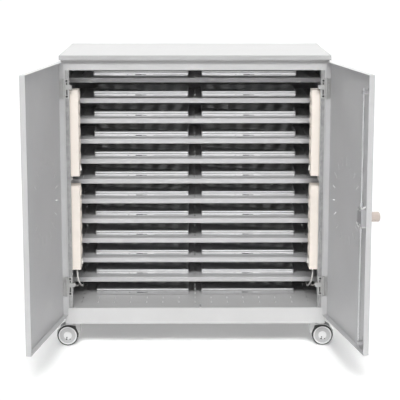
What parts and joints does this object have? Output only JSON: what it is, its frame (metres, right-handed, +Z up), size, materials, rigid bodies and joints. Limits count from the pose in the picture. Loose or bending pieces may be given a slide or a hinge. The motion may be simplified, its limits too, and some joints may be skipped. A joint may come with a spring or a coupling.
{
  "type": "laptop charging cabinet",
  "caption": "Wheeled sheet-steel charging cabinet with two vented doors, a rod lock, slotted shelves and socket strips, loaded with laptops.",
  "frame": {"origin": "on the floor, in the middle of the cabinet body's 990 mm by 520 mm footprint, with both doors open", "axes": "+X to the right seen from the front, +Y towards the back panel, +Z up"},
  "size_m": [1.2096, 1.0086, 1.135],
  "materials": {
    "cabinet_paint": "satin light grey powder coat",
    "shelf_paint": "satin light grey powder coat",
    "door_paint": "satin light grey powder coat",
    "worktop_paint": "satin light grey powder coat",
    "hinge_steel": "zinc plated",
    "dark_screw": "black oxide",
    "lock_case_zinc": "die-cast zinc",
    "rod_steel": "bright zinc plated",
    "knob_nickel": "satin, slightly warm",
    "strip_plastic": "fine matt beige",
    "rocker_plastic": "smooth off-white",
    "lead_sheath": "smooth white sheath",
    "inlet_plastic": "black moulding",
    "laptop_shell": "fine bead-blasted",
    "caster_body": "grey moulding",
    "hub_plastic": "silver-white moulding",
    "tyre": "dark grey rubber"
  },
  "bodies": {
    "cabinet": {"back_panel": "cabinet_paint", "caster_plates": "hinge_steel", "door_stop": "lock_case_zinc", "floor_pan": "cabinet_paint", "header_rail": "cabinet_paint", "hinge_pins": "hinge_steel", "hinge_plates": "hinge_steel", "hinge_screws": "dark_screw", "junction_boxes": "cabinet_paint", "laptops_left": "laptop_shell", "laptops_right": "laptop_shell", "mains_inlet": "inlet_plastic", "plinth": "cabinet_paint", "power_leads": "lead_sheath", "power_strip_lower_left": "strip_plastic", "power_strip_lower_right": "strip_plastic", "power_strip_upper_left": "strip_plastic", "power_strip_upper_right": "strip_plastic", "shelf_01": "shelf_paint", "shelf_02": "shelf_paint", "shelf_03": "shelf_paint", "shelf_04": "shelf_paint", "shelf_05": "shelf_paint", "shelf_06": "shelf_paint", "shelf_07": "shelf_paint", "shelf_08": "shelf_paint", "shelf_09": "shelf_paint", "shelf_10": "shelf_paint", "shelf_11": "shelf_paint", "shelf_uprights": "shelf_paint", "side_panel_left": "cabinet_paint", "side_panel_right": "cabinet_paint", "strip_brackets": "cabinet_paint", "worktop": "worktop_paint"},
    "door_left": {"door_left": "door_paint", "hinge_leaves_left": "hinge_steel"},
    "door_right": {"door_right": "door_paint", "hinge_leaves_right": "hinge_steel", "lock_case": "lock_case_zinc", "lock_guides": "lock_case_zinc"},
    "lock_knob": {"lock_knob": "knob_nickel", "lock_cam": "lock_case_zinc"},
    "lock_rod_upper": {"lock_rod_upper": "rod_steel"},
    "lock_rod_lower": {"lock_rod_lower": "rod_steel"},
    "rocker_lower_left": {"rocker_lower_left": "rocker_plastic"},
    "rocker_lower_right": {"rocker_lower_right": "rocker_plastic"},
    "rocker_upper_left": {"rocker_upper_left": "rocker_plastic"},
    "rocker_upper_right": {"rocker_upper_right": "rocker_plastic"},
    "caster_front_left": {"caster_fork_front_left": "caster_body"},
    "wheel_front_left": {"caster_hubs_front_left": "hub_plastic", "caster_tyres_front_left": "tyre"},
    "caster_front_right": {"caster_fork_front_right": "caster_body"},
    "wheel_front_right": {"caster_hubs_front_right": "hub_plastic", "caster_tyres_front_right": "tyre"},
    "caster_rear_left": {"caster_fork_rear_left": "caster_body"},
    "wheel_rear_left": {"caster_hubs_rear_left": "hub_plastic", "caster_tyres_rear_left": "tyre"},
    "caster_rear_right": {"caster_fork_rear_right": "caster_body"},
    "wheel_rear_right": {"caster_hubs_rear_right": "hub_plastic", "caster_tyres_rear_right": "tyre"}
  },
  "joints": [
    {"name": "door_left_swing", "type": "hinge", "parent": "cabinet", "child": "door_left", "pos_m": [-0.487, -0.2657, 0.633], "axis": [0, 0, 1], "range_deg": [-10, 99.5]},
    {"name": "door_right_swing", "type": "hinge", "parent": "cabinet", "child": "door_right", "pos_m": [0.487, -0.2657, 0.633], "axis": [0, 0, -1], "range_deg": [-9, 100.9]},
    {"name": "lock_knob_turn", "type": "hinge", "parent": "door_right", "child": "lock_knob", "pos_m": [0.59822, -0.71477, 0.625], "axis": [0.982, 0.1891, 0], "range_deg": [0, 90]},
    {"name": "lock_rod_upper_slide", "type": "slide", "parent": "door_right", "child": "lock_rod_upper", "axis": [0, 0, 1], "range_m": [0, 0.0161]},
    {"name": "lock_rod_lower_slide", "type": "slide", "parent": "door_right", "child": "lock_rod_lower", "axis": [0, 0, -1], "range_m": [0, 0.0161]},
    {"name": "rocker_lower_left_press", "type": "hinge", "parent": "cabinet", "child": "rocker_lower_left", "pos_m": [-0.4375, -0.202, 0.34], "axis": [0, 1, 0], "range_deg": [0, 16]},
    {"name": "rocker_lower_right_press", "type": "hinge", "parent": "cabinet", "child": "rocker_lower_right", "pos_m": [0.4375, -0.202, 0.34], "axis": [0, -1, 0], "range_deg": [0, 16]},
    {"name": "rocker_upper_left_press", "type": "hinge", "parent": "cabinet", "child": "rocker_upper_left", "pos_m": [-0.4375, -0.202, 0.702], "axis": [0, 1, 0], "range_deg": [0, 16]},
    {"name": "rocker_upper_right_press", "type": "hinge", "parent": "cabinet", "child": "rocker_upper_right", "pos_m": [0.4375, -0.202, 0.702], "axis": [0, -1, 0], "range_deg": [0, 16]},
    {"name": "swivel_front_left", "type": "hinge", "parent": "cabinet", "child": "caster_front_left", "pos_m": [-0.454, -0.18, 0.1], "axis": [0, 0, 1], "continuous": true},
    {"name": "wheel_front_left_spin", "type": "hinge", "parent": "caster_front_left", "child": "wheel_front_left", "pos_m": [-0.494, -0.18, 0.04], "axis": [0, 1, 0], "continuous": true},
    {"name": "swivel_front_right", "type": "hinge", "parent": "cabinet", "child": "caster_front_right", "pos_m": [0.454, -0.18, 0.1], "axis": [0, 0, 1], "continuous": true},
    {"name": "wheel_front_right_spin", "type": "hinge", "parent": "caster_front_right", "child": "wheel_front_right", "pos_m": [0.494, -0.18, 0.04], "axis": [0, 1, 0], "continuous": true},
    {"name": "swivel_rear_left", "type": "hinge", "parent": "cabinet", "child": "caster_rear_left", "pos_m": [-0.454, 0.18, 0.1], "axis": [0, 0, 1], "continuous": true},
    {"name": "wheel_rear_left_spin", "type": "hinge", "parent": "caster_rear_left", "child": "wheel_rear_left", "pos_m": [-0.494, 0.18, 0.04], "axis": [0, 1, 0], "continuous": true},
    {"name": "swivel_rear_right", "type": "hinge", "parent": "cabinet", "child": "caster_rear_right", "pos_m": [0.454, 0.18, 0.1], "axis": [0, 0, 1], "continuous": true},
    {"name": "wheel_rear_right_spin", "type": "hinge", "parent": "caster_rear_right", "child": "wheel_rear_right", "pos_m": [0.494, 0.18, 0.04], "axis": [0, 1, 0], "continuous": true}
  ],
  "couplings": [
    {"joint": "lock_rod_upper_slide", "follows": "lock_knob_turn", "m_per_rad": 0.01018},
    {"joint": "lock_rod_lower_slide", "follows": "lock_knob_turn", "m_per_rad": 0.01018}
  ]
}
